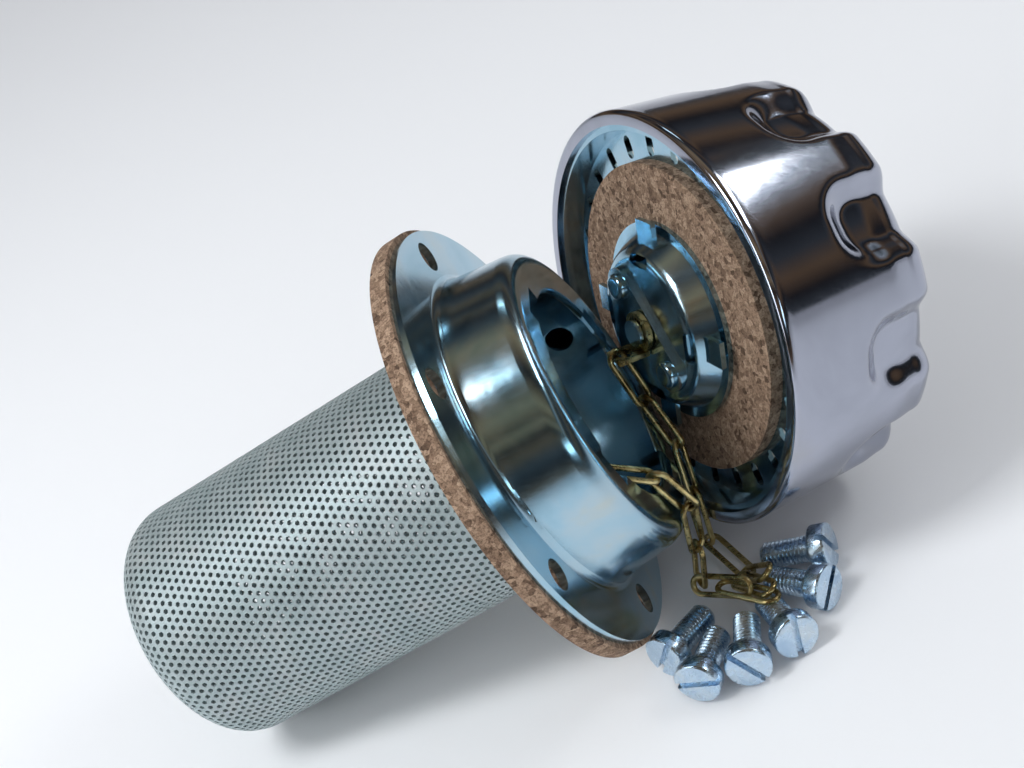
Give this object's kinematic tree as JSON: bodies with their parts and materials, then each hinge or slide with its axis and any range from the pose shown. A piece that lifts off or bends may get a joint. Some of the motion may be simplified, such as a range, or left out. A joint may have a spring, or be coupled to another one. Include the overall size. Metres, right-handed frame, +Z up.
{
  "type": "hydraulic filler breather",
  "caption": "Flanged tank filler neck with a perforated strainer basket, a bayonet air-filter cap on a chain, cork gaskets and loose flange screws.",
  "frame": {"origin": "the point of the table under the middle of the set's bounding box", "axes": "+Z up from the table; +X along the table the way the filler neck's mouth points; +Y away from the picture's near side"},
  "size_m": [0.1558, 0.1047, 0.083],
  "materials": {
    "zinc_plate": "satin blue zinc",
    "chromed_cap": "bright chrome",
    "cork": "matte granulated cork",
    "galvanised_mesh": "satin perforated sheet",
    "brass_chain": "aged brass",
    "filter_felt": "matte felt"
  },
  "bodies": {
    "neck": {"chain_anchor": "brass_chain", "chain_eyelet": "brass_chain", "chain_link_01": "brass_chain", "chain_link_02": "brass_chain", "chain_link_03": "brass_chain", "chain_link_04": "brass_chain", "chain_link_05": "brass_chain", "chain_link_06": "brass_chain", "chain_link_07": "brass_chain", "chain_link_08": "brass_chain", "chain_link_09": "brass_chain", "chain_link_10": "brass_chain", "chain_link_11": "brass_chain", "chain_link_12": "brass_chain", "chain_link_13": "brass_chain", "chain_link_14": "brass_chain", "filler_neck": "zinc_plate", "flange_gasket": "cork", "flange_screws": "zinc_plate", "strainer_basket": "galvanised_mesh", "strainer_end_disc": "galvanised_mesh", "throat_sleeve": "zinc_plate"},
    "cap": {"cap_shell": "chromed_cap", "base_pan": "zinc_plate", "bayonet_boss": "zinc_plate", "chain_strap": "zinc_plate", "boss_rivets": "zinc_plate", "cap_gasket": "cork", "filter_core": "zinc_plate", "filter_element": "filter_felt", "filter_plate": "zinc_plate", "swivel_pin": "zinc_plate"}
  },
  "joints": [
    {"name": "cap_turn", "type": "hinge", "parent": "neck", "child": "cap", "pos_m": [0.03187, 0.00575, 0.04416], "axis": [0.8658, 0.4204, -0.2714], "range_deg": [-35, 5]}
  ]
}
